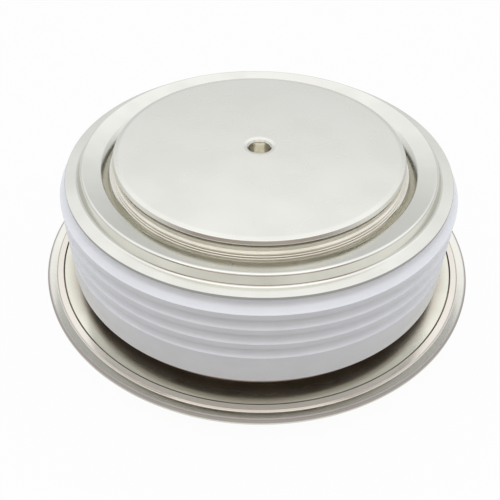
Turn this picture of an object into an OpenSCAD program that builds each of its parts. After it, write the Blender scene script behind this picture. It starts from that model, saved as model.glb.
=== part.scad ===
// Disc thyristor in a flat ceramic capsule, pressed between two heat sinks in use.
// The axis is vertical, the cathode face lies on z = 0 and the anode face looks up.
// The gate and the auxiliary cathode come out of the side towards +Y.

/* [Capsule] */
// Height over the two contact faces
capsule_h = 26; // [25:0.5:32]
// Outer diameter of the welded rim
rim_d = 75; // [74:0.5:84]
// Height of the weld seam above the cathode face
seam_z = 3.8; // [3.4:0.1:4.4]
// Thickness of the flange and diaphragm sheet
sheet_t = 0.5; // [0.3:0.05:0.6]

/* [Poles] */
// Width of the shallow bevel round a contact face
bevel_w = 0.7; // [0.3:0.1:0.9]
// Drop of the shallow bevel
bevel_h = 0.12; // [0.05:0.01:0.2]
// Width of the steep chamfer outside the bevel
chamfer_w = 0.35; // [0.2:0.05:0.5]
// Drop of the steep chamfer
chamfer_h = 0.35; // [0.2:0.05:0.5]
// Height of the lip, from the face to the undercut
lip_h = 0.74; // [0.72:0.02:1.4]
// Depth of the undercut behind the lip
undercut = 0.45; // [0.3:0.05:0.6]
// Step from a pole's body out to its wall
wall_step = 0.9; // [0.6:0.1:1.2]
// Width of the shoulder that the sheet is brazed to
shoulder_w = 0.9; // [0.5:0.1:1]
// Thickness of the shoulder
shoulder_t = 1.2; // [0.8:0.1:1.8]
// Height of the cathode pole
cathode_pole_h = 10.5; // [10.4:0.1:11.5]
// Diameter of the centring hole in each face
centring_d = 3.6; // [3:0.1:4]
// Depth of the centring hole
centring_depth = 3.5; // [2.5:0.1:3.8]
// Mouth diameter of the countersink on the centring hole
countersink_d = 4.5; // [4.1:0.1:5.5]

/* [Ceramic ring] */
// Wall of the ring, from its ribs to its bore
ceramic_wall = 4.5; // [4:0.1:5]
// Drop from the anode face to the ring's top
ceramic_drop = 3.35; // [3:0.05:3.8]
// Height of the ring's foot above the weld seam
ceramic_rise = 2.8; // [2.4:0.1:3]
// Height of the plain land at the foot
land_h = 5.55; // [5.2:0.05:5.8]
// Number of ribs above the land
rib_count = 3; // [2:1:5]
// Height of a rib's flat crest
crest_h = 1; // [0.6:0.1:1.3]
// Height of the neck at the top of the ring
neck_h = 1.7; // [1.6:0.1:2.2]
// Depth of the neck at the top of the ring
neck_depth = 1.45; // [1.2:0.05:1.5]
// Radius of the hollow at the root of the neck
neck_r = 0.9; // [0.6:0.1:1]
// Slope of the top rib's shoulder, in degrees
shoulder_slope = 22; // [10:1:30]
// Chamfer round the foot
foot_chamfer = 0.4; // [0.1:0.05:0.7]

/* [Diaphragm and flanges] */
// Width of the flanges outside the ceramic ring
flange_w = 5; // [4.6:0.1:6]
// Width of the flat collar round a pole, up to the pressed ring
collar_w = 1.1; // [1:0.05:1.4]
// Height of the pressed ring at its inner edge
ring_in_h = 0.9; // [0.5:0.05:1.2]
// Height of the pressed ring at its outer edge
ring_out_h = 1.7; // [0.8:0.1:1.8]
// Width of the pressed ring's inner slope
inner_slope_w = 1.25; // [0.8:0.05:1.5]
// Width of the pressed ring's outer slope
outer_slope_w = 0.75; // [0.7:0.05:1.3]
// Width of the flat seat on the ceramic ring
seat_w = 1.95; // [1.6:0.05:2.3]
// How far the seat stands out over the ceramic's neck
seat_overhang = 0.35; // [0:0.05:0.5]
// How far the weld flange's neck stands in from the ceramic
neck_inset = 2.1; // [1.7:0.1:2.4]
// Inside bend radius of the weld flange
bend_r = 0.7; // [0.65:0.05:0.8]
// Width of the flange's braze ring inside its neck
braze_w = 2.2; // [1.6:0.1:2.3]
// Width of the pressed weld ridge
weld_w = 1.4; // [1:0.1:1.6]
// Height of the weld ridge, and depth of the groove under it
weld_rise = 0.2; // [0.1:0.05:0.25]
// Draft of the weld ridge's walls
weld_draft = 0.24; // [0.1:0.02:0.3]
// Distance from the weld ridge to the edge of the rim
weld_inset = 1.5; // [1.3:0.1:2]
// Rise of the rim from the weld ridge to its edge
rim_rise = 0.34; // [0.2:0.02:0.44]
// Rounding of the rim's upper edge
rim_edge_r = 0.3; // [0.15:0.05:0.4]

/* [Silicon stack] */
// How far the wafer stands out past the poles inside
wafer_overhang = 2.6; // [2.2:0.1:3]
// Thickness of the wafer
wafer_t = 0.5; // [0.3:0.05:0.7]
// Bevel of the wafer's edge
wafer_bevel = 0.8; // [0.4:0.1:1]
// Thickness of the anode side molybdenum disc
anode_disc_t = 2; // [1.5:0.1:2.6]
// How far the cathode side molybdenum disc stands in from the pole
cathode_disc_inset = 0.1; // [0:0.1:1]
// Thickness of the cathode side molybdenum disc
cathode_disc_t = 1.2; // [0.8:0.1:1.5]
// Diameter of the gate window in the cathode side disc
gate_window_d = 3.8; // [3.5:0.1:4.4]
// Radial thickness of the edge seal
seal_w = 1.1; // [0.8:0.1:1.2]
// Reach of the edge seal under the wafer
seal_lip_w = 0.9; // [0.5:0.1:1.1]
// Depth of the edge seal below the wafer
seal_drop = 0.6; // [0.3:0.1:0.7]
// Wall of the locating ring
locating_t = 1.2; // [0.8:0.1:1.2]
// Height of the locating ring's floor
locating_floor = 1; // [0.6:0.1:1.2]
// Play between the locating ring and the ceramic's bore
bore_play = 0.6; // [0.3:0.1:1]
// Play round the edge seal and the gate parts
fit_gap = 0.1; // [0.05:0.01:0.15]

/* [Gate] */
// Depth of the gate lead below the cathode pole's inner end
gate_drop = 1.6; // [1.5:0.1:1.9]
// Diameter of the gate bore in the cathode pole
gate_bore_d = 6.2; // [6:0.1:8]
// Metal left between the gate bore and the centring hole
gate_floor_t = 1; // [0.6:0.1:1.2]
// Wall of the insulating gate cup
cup_wall = 0.55; // [0.4:0.05:0.6]
// Diameter of the gate pin's head
pin_head_d = 4.4; // [4:0.1:4.6]
// Thickness of the gate pin's head
pin_head_t = 1; // [0.9:0.1:1.2]
// Diameter of the gate pin's tip
pin_tip_d = 2; // [1.2:0.1:2.2]
// Diameter of the gate pin's stem
pin_stem_d = 2.2; // [1.4:0.1:2.4]
// Length of the gate pin's stem
pin_stem_h = 2; // [1:0.1:2.4]
// Diameter of the gate spring's wire
spring_wire_d = 0.5; // [0.3:0.05:0.55]
// Diameter of the gate spring between wire centres
spring_mean_d = 3.3; // [3.1:0.1:3.6]
// Turns of the gate spring
spring_turns = 4; // [2:0.5:4.5]
// Height of the guide bush's flange
guide_flange_h = 0.9; // [0.5:0.1:1]
// Diameter of the gate lead
lead_d = 0.8; // [0.5:0.1:0.8]
// Outer diameter of the lead's insulating tube
lead_cover_d = 1.8; // [1.4:0.1:2]
// Outer diameter of the gate tube in the ceramic
tube_d = 2.4; // [2:0.1:3]
// Reach of the gate tube outside the ceramic
tube_reach = 3.6; // [3.2:0.1:4.6]

/* [Terminals] */
// Thickness of the push-on tabs
tab_t = 0.8; // [0.5:0.1:0.8]
// Length of a tab's blade
blade_l = 7.5; // [6:0.5:9]
// Width of the gate tab
gate_tab_w = 2.8; // [2.8:2:4.8]
// Width of the auxiliary cathode tab
aux_tab_w = 4.8; // [2.8:2:4.8]
// Angle from the gate tab to the auxiliary cathode tab
aux_tab_angle = 16; // [13:1:40]
// Wall of the gate tab's barrel
barrel_wall = 0.6; // [0.4:0.1:0.8]
// Grip of the gate tab's barrel on the gate tube
barrel_grip = 2; // [1.5:0.1:2.5]
// Diameter of the catch hole in each blade
catch_hole_d = 1.2; // [0.8:0.1:1.4]

/* [Hidden] */

$fn = 96;
// Segments of a pressed slope or bend in a sheet's section
slope_steps = 8;
// How far a cut runs past the face it opens
cut = 0.5;
// Sides and segments per turn of the spring's wire
wire_sides = 8;
turn_steps = 18;

// Radii, inwards from the rim to the wafer and the contact face
rim_r = rim_d / 2;
ceramic_r = rim_r - flange_w;
bore_r = ceramic_r - ceramic_wall;
locating_r = bore_r - bore_play;
locating_in_r = locating_r - locating_t;
seal_r = locating_in_r - fit_gap;
wafer_r = seal_r - seal_w;
body_r = wafer_r - wafer_overhang;
wall_r = body_r + wall_step;
shoulder_r = wall_r + shoulder_w;
lip_r = wall_r + undercut;
bevel_r = lip_r - chamfer_w;
face_r = bevel_r - bevel_w;

// Heights of the capsule's seats
ceramic_z = seam_z + ceramic_rise;
ceramic_top = capsule_h - ceramic_drop;
ceramic_h = ceramic_top - ceramic_z;
flange_top = seam_z + sheet_t;
flange_under = seam_z - sheet_t;
diaphragm_top = ceramic_top + sheet_t;

// Heights of the silicon stack
wafer_z = cathode_pole_h + cathode_disc_t;
anode_disc_z = wafer_z + wafer_t;
anode_pole_z = anode_disc_z + anode_disc_t;

// Radii of the diaphragm and the flanges
slope_in_r = wall_r + collar_w;
neck_root_r = ceramic_r - neck_depth;
seat_r = neck_root_r + seat_overhang;
slope_out_r = seat_r - seat_w;
flange_neck_r = ceramic_r - neck_inset;
weld_out_r = rim_r - weld_inset;
weld_in_r = weld_out_r - weld_w;
// Set-in of a sheet's underside at a slope, which keeps the sheet's thickness there
tuck = sheet_t / 2;

// Ribs, spread from the land up to the neck
rib_pitch = (ceramic_h - land_h - neck_h) / rib_count;
groove_d = rib_pitch - crest_h;

// Gate parts, stacked in the bore of the cathode pole
gate_z = cathode_pole_h - gate_drop;
gate_bore_z = centring_depth + gate_floor_t;
cup_floor_t = 0.6;
cup_floor_z = gate_bore_z + cup_floor_t;
cup_r = gate_bore_d / 2 - fit_gap / 2;
cup_in_r = cup_r - cup_wall;
pin_head_z = gate_z - pin_head_t / 2;
pin_head_top = gate_z + pin_head_t / 2;
lead_slot_w = lead_cover_d + 2 * fit_gap;
// Depth that the lead is soldered into the pin's head
lead_grip = 1.2;
// Reach of the gate tube inside the ceramic bore
tube_in = 0.8;
tube_end = ceramic_r + tube_reach;
barrel_end = tube_end + tab_t;
blade_tip = barrel_end + blade_l;

// Edge seal and locating ring
seal_top = anode_disc_z + 0.7 * anode_disc_t;
locating_top = seal_top;
locating_floor_top = wafer_z - seal_drop - fit_gap;
locating_floor_z = locating_floor_top - locating_floor;
locating_foot_z = seam_z + shoulder_t;

nickel = "gainsboro";
sheet_nickel = "lightgray";
alumina = [0.90, 0.90, 0.93];
molybdenum = "slategray";
rubber_white = "whitesmoke";
ptfe = "ivory";
tinned = "silver";

// Points of a smooth pressed slope between two levels
function slope(r0, z0, r1, z1) = [
    for (i = [0:slope_steps])
        let (s = i / slope_steps)
        [r0 + (r1 - r0) * s, z0 + (z1 - z0) * (1 - cos(180 * s)) / 2]
];

// Points of a round bend about a centre
function bend(r, z, radius, a0, a1) = [
    for (i = [0:slope_steps])
        let (a = a0 + (a1 - a0) * i / slope_steps)
        [r + radius * cos(a), z + radius * sin(a)]
];

function reversed(points) = [for (i = [len(points) - 1:-1:0]) points[i]];

// The raised face and the hollow face of a sheet's pressed ring
function ring_crown(z) = concat(
    slope(slope_in_r, z, slope_in_r + inner_slope_w, z + ring_in_h),
    slope(slope_out_r - outer_slope_w, z + ring_out_h, slope_out_r, z)
);
function ring_hollow(z) = concat(
    slope(slope_in_r + tuck, z, slope_in_r + inner_slope_w + tuck, z + ring_in_h),
    slope(slope_out_r - outer_slope_w - tuck, z + ring_out_h, slope_out_r - tuck, z)
);

// The weld ridge, pressed from a sheet's free face at level z by the signed rise
function weld_ridge(z, rise) = [
    [weld_in_r, z],
    [weld_in_r + weld_draft, z + rise],
    [weld_out_r - weld_draft, z + rise],
    [weld_out_r, z]
];

// A pole standing on its contact face, with the sheet's outer face at the collar's height
module pole(h, collar_z) {
    shoulder_z = collar_z + sheet_t;
    difference() {
        rotate_extrude()
            polygon([
                [0, 0],
                [face_r, 0],
                [bevel_r, bevel_h],
                [lip_r, bevel_h + chamfer_h],
                [lip_r, lip_h],
                [wall_r, lip_h],
                [wall_r, shoulder_z],
                [shoulder_r, shoulder_z],
                [shoulder_r, shoulder_z + shoulder_t],
                [body_r, shoulder_z + shoulder_t],
                [body_r, h],
                [0, h]
            ]);
        centring_hole();
    }
}

// Blind hole for the clamp's centring pin
module centring_hole() {
    countersink_h = (countersink_d - centring_d) / 2;
    translate([0, 0, -cut])
        cylinder(d = centring_d, h = centring_depth + cut);
    translate([0, 0, -cut])
        cylinder(d1 = countersink_d + 2 * cut, d2 = centring_d, h = countersink_h + cut);
}

// A cylinder along +Y at the height of the gate lead
module along_gate(y0, y1, d) {
    translate([0, y0, gate_z])
        rotate([-90, 0, 0])
            cylinder(d = d, h = y1 - y0);
}

// Slot for the covered gate lead, open to the top, from y0 out to y1
module lead_slot(y0, y1, top) {
    translate([-lead_slot_w / 2, y0, gate_z - lead_slot_w / 2])
        cube([lead_slot_w, y1 - y0, top - gate_z + lead_slot_w / 2]);
}

// Flat push-on blade along +Y, from y = 0, with bevelled corners and a catch hole
module blade(w, l) {
    corner = w / 5;
    translate([0, 0, -tab_t / 2])
        linear_extrude(tab_t)
            difference() {
                polygon([
                    [-w / 2, 0],
                    [w / 2, 0],
                    [w / 2, l - corner],
                    [w / 2 - corner, l],
                    [corner - w / 2, l],
                    [-w / 2, l - corner]
                ]);
                translate([0, l / 2])
                    circle(d = catch_hole_d);
            }
}

// Turned copper pole at the foot, bored for the gate and slotted for its lead
module cathode_pole() {
    color(nickel)
        difference() {
            pole(cathode_pole_h, flange_under);
            translate([0, 0, gate_bore_z])
                cylinder(d = gate_bore_d, h = cathode_pole_h - gate_bore_z + cut);
            lead_slot(0, body_r + cut, cathode_pole_h + cut);
        }
}

// Turned copper pole at the top, standing on the silicon stack
module anode_pole() {
    color(nickel)
        translate([0, 0, capsule_h])
            mirror([0, 0, 1])
                pole(capsule_h - anode_pole_z, capsule_h - diaphragm_top);
}

// Ribbed alumina ring, with round grooves between its ribs and a hole for the gate tube
module ceramic_ring() {
    color(alumina)
        difference() {
            rotate_extrude()
                translate([0, ceramic_z])
                    ceramic_section();
            along_gate(0, ceramic_r + cut, tube_d);
        }
}

module ceramic_section() {
    difference() {
        translate([bore_r, 0])
            square([ceramic_r - bore_r, ceramic_h]);
        for (i = [0:rib_count - 1])
            translate([ceramic_r, land_h + i * rib_pitch + groove_d / 2])
                circle(d = groove_d);
        translate([0, ceramic_h - neck_h])
            neck_hollow();
        translate([ceramic_r, 0])
            rotate(45)
                square(foot_chamfer * sqrt(2), center = true);
    }
}

// What the top rib's sloping shoulder and the neck above it leave open
module neck_hollow() {
    sweep = 90 - shoulder_slope;
    bend_run = neck_r * (1 - cos(sweep));
    bend_drop = neck_r * sin(sweep);
    shoulder_h = (neck_depth - bend_run) * tan(shoulder_slope);
    polygon(concat(
        [[ceramic_r + cut, neck_h + cut], [neck_root_r, neck_h + cut]],
        bend(neck_root_r + neck_r, shoulder_h + bend_drop, neck_r, 180, 180 + sweep),
        [[ceramic_r, 0], [ceramic_r + cut, 0]]
    ));
}

// Pressed sheet between the anode pole and the ceramic's top
module anode_diaphragm() {
    color(sheet_nickel)
        rotate_extrude()
            polygon(concat(
                [[wall_r, diaphragm_top]],
                ring_crown(diaphragm_top),
                [[seat_r, diaphragm_top]],
                [[seat_r, ceramic_top]],
                reversed(ring_hollow(ceramic_top)),
                [[wall_r, ceramic_top]]
            ));
}

// Upper sheet of the weld: brazed under the ceramic, bent down and out to the rim
module weld_flange() {
    foot_r = flange_neck_r + bend_r;
    color(sheet_nickel)
        rotate_extrude()
            polygon(concat(
                [[flange_neck_r - braze_w, ceramic_z]],
                bend(flange_neck_r - bend_r, ceramic_z - bend_r, bend_r, 90, 0),
                bend(foot_r, flange_top + bend_r, bend_r, 180, 270),
                weld_ridge(flange_top, weld_rise),
                bend(rim_r - rim_edge_r, flange_top + rim_rise - rim_edge_r, rim_edge_r, 90, 0),
                [[rim_r, seam_z]],
                bend(foot_r, flange_top + bend_r, bend_r + sheet_t, 270, 180),
                bend(flange_neck_r - bend_r, ceramic_z - bend_r, bend_r - sheet_t, 0, 90),
                [[flange_neck_r - braze_w, ceramic_z - sheet_t]]
            ));
}

// Lower sheet of the weld: brazed to the cathode pole, with a pressed ring that looks down
module cathode_flange() {
    color(sheet_nickel)
        mirror([0, 0, 1])
            rotate_extrude()
                polygon(concat(
                    [[wall_r, -flange_under]],
                    ring_crown(-flange_under),
                    weld_ridge(-flange_under, -weld_rise),
                    [[rim_r, -flange_under]],
                    [[rim_r, -seam_z]],
                    reversed(ring_hollow(-seam_z)),
                    [[wall_r, -seam_z]]
                ));
}

// Carrier disc that the wafer is alloyed to
module anode_moly_disc() {
    color(molybdenum)
        translate([0, 0, anode_disc_z])
            cylinder(r = wafer_r, h = anode_disc_t);
}

// Wafer with a bevelled edge, its narrow side towards the cathode
module silicon_wafer() {
    color("dimgray")
        translate([0, 0, wafer_z])
            cylinder(r1 = wafer_r - wafer_bevel, r2 = wafer_r, h = wafer_t);
}

// Loose contact disc with the gate window in its middle
module cathode_moly_disc() {
    color(molybdenum)
        translate([0, 0, cathode_pole_h])
            difference() {
                cylinder(r = body_r - cathode_disc_inset, h = cathode_disc_t);
                translate([0, 0, -cut])
                    cylinder(d = gate_window_d, h = cathode_disc_t + 2 * cut);
            }
}

// Silicone bead moulded round the wafer's bevel
module edge_seal() {
    under_r = wafer_r - wafer_bevel - seal_lip_w;
    round_off = seal_w / 3;
    color(rubber_white)
        rotate_extrude()
            polygon([
                [under_r, wafer_z],
                [under_r + round_off, wafer_z - seal_drop],
                [seal_r - round_off, wafer_z - seal_drop],
                [seal_r, wafer_z - seal_drop + round_off],
                [seal_r, seal_top - round_off],
                [seal_r - round_off, seal_top],
                [wafer_r, seal_top],
                [wafer_r, anode_disc_z],
                [wafer_r - wafer_bevel, wafer_z]
            ]);
}

// Moulded ring that stands on the cathode pole's shoulder and centres the wafer
module locating_ring() {
    inner_r = body_r + fit_gap;
    color(ptfe)
        difference() {
            rotate_extrude()
                polygon([
                    [inner_r, locating_foot_z],
                    [inner_r + locating_t, locating_foot_z],
                    [inner_r + locating_t, locating_floor_z],
                    [locating_r, locating_floor_z],
                    [locating_r, locating_top],
                    [locating_in_r, locating_top],
                    [locating_in_r, locating_floor_top],
                    [inner_r, locating_floor_top]
                ]);
            lead_slot(0, locating_r + cut, locating_top + cut);
        }
}

// Insulating cup that lines the gate bore
module gate_cup() {
    color(ptfe)
        difference() {
            translate([0, 0, gate_bore_z])
                cylinder(r = cup_r, h = cathode_pole_h - gate_bore_z);
            translate([0, 0, cup_floor_z])
                cylinder(r = cup_in_r, h = cathode_pole_h);
            lead_slot(0, cup_r + cut, cathode_pole_h + cut);
        }
}

// Coil spring that lifts the gate pin
module gate_spring() {
    wire_r = spring_wire_d / 2;
    mean_r = spring_mean_d / 2;
    bottom = cup_floor_z + wire_r;
    rise = pin_head_z - cup_floor_z - spring_wire_d;
    rings = ceil(spring_turns * turn_steps);
    lead_angle = atan2(rise, 2 * PI * mean_r * spring_turns);
    points = [
        for (i = [0:rings], j = [0:wire_sides - 1])
            let (
                turn = 360 * spring_turns * i / rings,
                side = 360 * j / wire_sides,
                out = mean_r + wire_r * cos(side),
                along = -wire_r * sin(side) * sin(lead_angle),
                up = wire_r * sin(side) * cos(lead_angle)
            )
            [
                out * cos(turn) - along * sin(turn),
                out * sin(turn) + along * cos(turn),
                bottom + rise * i / rings + up
            ]
    ];
    walls = [
        for (i = [0:rings - 1], j = [0:wire_sides - 1])
            let (a = i * wire_sides + j, b = i * wire_sides + (j + 1) % wire_sides)
            [a, a + wire_sides, b + wire_sides, b]
    ];
    ends = [
        [for (j = [0:wire_sides - 1]) j],
        [for (j = [wire_sides - 1:-1:0]) rings * wire_sides + j]
    ];
    color("darkgray")
        polyhedron(points, concat(walls, ends));
}

// Gate contact: a head with a stem inside the spring and a tip on the wafer
module gate_pin() {
    color(tinned)
        difference() {
            union() {
                translate([0, 0, pin_head_z])
                    cylinder(d = pin_head_d, h = pin_head_t);
                translate([0, 0, pin_head_top])
                    cylinder(d = pin_tip_d, h = wafer_z - pin_head_top);
                translate([0, 0, pin_head_z - pin_stem_h])
                    cylinder(d = pin_stem_d, h = pin_stem_h);
            }
            along_gate(pin_head_d / 2 - lead_grip, pin_head_d, lead_d);
        }
}

// Insulating bush that keeps the tip clear of the cathode disc
module gate_guide() {
    color(ptfe)
        difference() {
            union() {
                translate([0, 0, cathode_pole_h - guide_flange_h])
                    cylinder(r = cup_in_r - fit_gap / 2, h = guide_flange_h);
                translate([0, 0, cathode_pole_h])
                    cylinder(d = gate_window_d - fit_gap, h = cathode_disc_t - fit_gap);
            }
            translate([0, 0, cathode_pole_h - guide_flange_h - cut])
                cylinder(d = pin_tip_d + fit_gap, h = guide_flange_h + cathode_disc_t + 2 * cut);
        }
}

// Wire from the gate pin's head to the end of the gate tube
module gate_lead() {
    color("peru")
        along_gate(pin_head_d / 2 - lead_grip, tube_end, lead_d);
}

// Insulating tube over the lead, from the cup's wall to the gate tube
module gate_lead_cover() {
    color(ptfe)
        difference() {
            along_gate(cup_in_r, bore_r - tube_in, lead_cover_d);
            along_gate(0, bore_r, lead_d);
        }
}

// Metal tube brazed through the ceramic's land
module gate_tube() {
    color(sheet_nickel)
        difference() {
            along_gate(bore_r - tube_in, tube_end, tube_d);
            along_gate(0, tube_end + cut, lead_d);
        }
}

// Gate terminal, with a barrel crimped on the gate tube
module gate_tab() {
    color(tinned)
        difference() {
            union() {
                along_gate(tube_end - barrel_grip, barrel_end, tube_d + 2 * barrel_wall);
                translate([0, barrel_end, gate_z])
                    blade(gate_tab_w, blade_l);
            }
            along_gate(0, tube_end, tube_d);
        }
}

// Auxiliary cathode terminal, a bent strip welded on the flange inside the weld ridge
module aux_cathode_tab() {
    riser_out = weld_in_r - weld_draft;
    riser_in = riser_out - tab_t;
    foot_in = ceramic_r + fit_gap;
    color(tinned)
        rotate(-aux_tab_angle)
            union() {
                translate([-aux_tab_w / 2, foot_in, flange_top])
                    cube([aux_tab_w, riser_out - foot_in, tab_t]);
                translate([-aux_tab_w / 2, riser_in, flange_top])
                    cube([aux_tab_w, tab_t, gate_z + tab_t / 2 - flange_top]);
                translate([0, riser_out, gate_z])
                    blade(aux_tab_w, blade_tip - riser_out);
            }
}

cathode_pole();
anode_pole();
ceramic_ring();
anode_diaphragm();
weld_flange();
cathode_flange();
anode_moly_disc();
silicon_wafer();
cathode_moly_disc();
edge_seal();
locating_ring();
gate_cup();
gate_spring();
gate_pin();
gate_guide();
gate_lead();
gate_lead_cover();
gate_tube();
gate_tab();
aux_cathode_tab();
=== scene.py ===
"""Studio scene of a disc thyristor: a ribbed ceramic capsule between nickel-plated poles, seen from above."""
import logging
import math
from collections.abc import Sequence
from dataclasses import dataclass, replace
from enum import Enum
from typing import ClassVar

import bmesh
import bpy
from mathutils import Matrix, Vector


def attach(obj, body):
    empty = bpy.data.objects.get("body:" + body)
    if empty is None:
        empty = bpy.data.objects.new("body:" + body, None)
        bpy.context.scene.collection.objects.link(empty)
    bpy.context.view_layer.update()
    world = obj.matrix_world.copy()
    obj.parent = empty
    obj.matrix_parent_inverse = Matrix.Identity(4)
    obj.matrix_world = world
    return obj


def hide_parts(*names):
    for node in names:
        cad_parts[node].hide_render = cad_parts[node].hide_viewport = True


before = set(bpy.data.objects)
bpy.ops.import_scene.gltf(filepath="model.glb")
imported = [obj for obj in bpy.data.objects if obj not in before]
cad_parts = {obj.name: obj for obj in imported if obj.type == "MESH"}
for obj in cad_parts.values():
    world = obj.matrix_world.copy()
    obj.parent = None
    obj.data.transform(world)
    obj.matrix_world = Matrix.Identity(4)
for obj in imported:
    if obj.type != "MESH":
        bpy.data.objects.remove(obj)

LOG = logging.getLogger("disc_thyristor")
MM = 0.001
# The distance in millimetres from a rounding to the point that holds its flank.
HOLD = 0.04
# The largest turn in degrees between two points of a rounding.
ROUND_STEP = 9.0
# The largest share of a side that one rounding takes.
SIDE_SHARE = 0.4
# Points nearer the axis than this, in millimetres, lie on it.
ON_AXIS = 1e-9
# Steps round the capsule, and round a small tube.
ROUND_SIDES, SMALL_SIDES = 288, 64
# The least angle of a sharp edge, in degrees.
SHARP_ANGLE = 32.0
# The edge radius of a cutting tool, in millimetres.
TOOL_EDGE = 0.01
# Points nearer each other than this, in metres, are one.
SAME_POINT = 1e-7

Color = tuple[float, float, float]
Point = tuple[float, float]
Socket = bpy.types.NodeSocket


class Slot(Enum):
    """The record's material slots."""

    NICKEL_PLATE = "nickel_plate"
    NICKEL_SHEET = "nickel_sheet"
    ALUMINA = "alumina"
    MOLYBDENUM = "molybdenum"
    SILICON = "silicon"
    SILICONE = "silicone"
    FLUOROPLASTIC = "fluoroplastic"
    SPRING_STEEL = "spring_steel"
    SILVER_PLATE = "silver_plate"
    TIN_PLATE = "tin_plate"


class End(Enum):
    """The two ends of the capsule."""

    ANODE = "anode"
    CATHODE = "cathode"


class Tree:
    """Writes the nodes of one node tree."""

    def __init__(self, tree: bpy.types.NodeTree) -> None:
        """Starts with an empty tree.

        Args:
            tree: The node tree of a material or a world.
        """
        self.tree = tree
        self.tree.nodes.clear()

    def feed(self, entry: Socket, value: Socket | float | Color) -> None:
        """Feeds an input.

        Args:
            entry: The input.
            value: The socket that drives it, or its number or colour.
        """
        if isinstance(value, Socket):
            self.tree.links.new(value, entry)
        else:
            entry.default_value = (*value, 1.0) if isinstance(value, tuple) else value

    def node(self, kind: str, inputs: dict[str | int, Socket | float | Color], **settings: object) -> bpy.types.Node:
        """Adds a node.

        Args:
            kind: The node's type, without its prefix.
            inputs: What feeds its inputs, by name or number.
            settings: Properties of the node.

        Returns:
            The new node.
        """
        made = self.tree.nodes.new("ShaderNode" + kind)
        for name, value in settings.items():
            setattr(made, name, value)
        for name, value in inputs.items():
            self.feed(made.inputs[name], value)
        return made

    def math(self, operation: str, first: Socket, second: Socket | float = 0.0) -> Socket:
        """Adds a sum of two values.

        Args:
            operation: Blender's name of the operation.
            first: The first value.
            second: The second value, a socket or a number.

        Returns:
            The result.
        """
        return self.node("Math", {0: first, 1: second}, operation=operation).outputs[0]

    def spread(self, socket: Socket, low: float, high: float, start: float = 0.3, end: float = 0.7) -> Socket:
        """Maps a value smoothly to a range.

        Args:
            socket: The value.
            low: The result at the range's start.
            high: The result at the range's end.
            start: The value that gives low.
            end: The value that gives high.

        Returns:
            The mapped value.
        """
        inputs = {0: socket, 1: start, 2: end, 3: low, 4: high}
        return self.node("MapRange", inputs, interpolation_type="SMOOTHSTEP").outputs[0]

    def blend(self, factor: Socket, first: Socket | Color, second: Socket | Color) -> Socket:
        """Mixes two colours.

        Args:
            factor: How much of the second colour shows.
            first: The first colour, a socket or a value.
            second: The second colour, a socket or a value.

        Returns:
            The mixed colour.
        """
        return self.node("Mix", {0: factor, 6: first, 7: second}, data_type="RGBA").outputs[2]


class Shader(Tree):
    """Writes the nodes of one material, in object coordinates."""

    def __init__(self, name: str, inputs: dict[str, float]) -> None:
        """Starts a material with a plain surface.

        Args:
            name: The material's name.
            inputs: Values of the surface's inputs.
        """
        self.material: bpy.types.Material = bpy.data.materials.new(name)
        self.material.use_nodes = True
        super().__init__(self.material.node_tree)
        self.surface = self.node("BsdfPrincipled", inputs)
        self.node("OutputMaterial", {"Surface": self.surface.outputs["BSDF"]})

    def cover(self, color: Socket, gloss: Socket) -> None:
        """Drives the surface's colour and roughness.

        Args:
            color: The colour.
            gloss: The roughness.
        """
        self.feed(self.surface.inputs["Base Color"], color)
        self.feed(self.surface.inputs["Roughness"], gloss)

    def place(self) -> Socket:
        """Returns the point in object coordinates, in metres."""
        return self.node("TexCoord", {}).outputs["Object"]

    def height(self) -> Socket:
        """Returns the height above the cathode face, in metres."""
        return self.node("SeparateXYZ", {0: self.place()}).outputs[2]

    def radius(self) -> Socket:
        """Returns the distance from the capsule's axis, in metres."""
        parts = self.node("SeparateXYZ", {0: self.place()})
        across = self.math("POWER", parts.outputs[0], 2.0)
        along = self.math("POWER", parts.outputs[1], 2.0)
        return self.math("SQRT", self.math("ADD", across, along))

    def noise(self, size: float, detail: float = 3.0, roughness: float = 0.5) -> Socket:
        """Adds an even noise.

        Args:
            size: The size of its grains, in metres.
            detail: Its octaves.
            roughness: How much the finer octaves show.

        Returns:
            The noise, about 0.5.
        """
        inputs = {"Vector": self.place(), "Scale": 1.0 / size, "Detail": detail, "Roughness": roughness}
        return self.node("TexNoise", inputs).outputs[0]

    def rings(self, pitch: float) -> Socket:
        """Adds turning marks, as a noise along the distance from the axis.

        Args:
            pitch: The mean distance between marks, in metres.

        Returns:
            The marks' height, about 0.5.
        """
        inputs = {"W": self.math("DIVIDE", self.radius(), pitch), "Scale": 1.0, "Detail": 2.0}
        return self.node("TexNoise", inputs, noise_dimensions="1D").outputs[0]

    def relief(self, layers: Sequence[tuple[Socket, float]]) -> None:
        """Stacks bumps on the surface.

        Args:
            layers: Heights about 0.5, each with the depth of its relief in metres.
        """
        target = self.surface
        for height, depth in reversed(layers):
            bump = self.node("Bump", {"Height": height, "Strength": 1.0, "Distance": depth})
            self.feed(target.inputs["Normal"], bump.outputs["Normal"])
            target = bump


@dataclass(frozen=True)
class Zone:
    """A ring of a turned or pressed piece with a look of its own, by distance from the axis in millimetres.

    Attributes:
        color: Its colour.
        gloss: Its roughness.
        full: Where it is full.
        none: Where it ends, inside or outside.
    """

    color: Color
    gloss: float
    full: float
    none: float


@dataclass(frozen=True)
class Coating:
    """What every finish has.

    Attributes:
        name: The material's name.
        color: Its colour.
        shade: The colour of its duller patches.
        gloss: Lowest and highest roughness.
    """

    name: str
    color: Color
    shade: Color
    gloss: tuple[float, float]

    def mottled(self, shader: Shader, patches: Socket) -> tuple[Socket, Socket]:
        """Gives the colour and the roughness.

        Args:
            shader: The material's nodes.
            patches: A noise that places the duller patches.

        Returns:
            The colour and the roughness.
        """
        color = shader.blend(shader.spread(patches, 0.0, 1.0), self.color, self.shade)
        return color, shader.spread(patches, *self.gloss)


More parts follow.
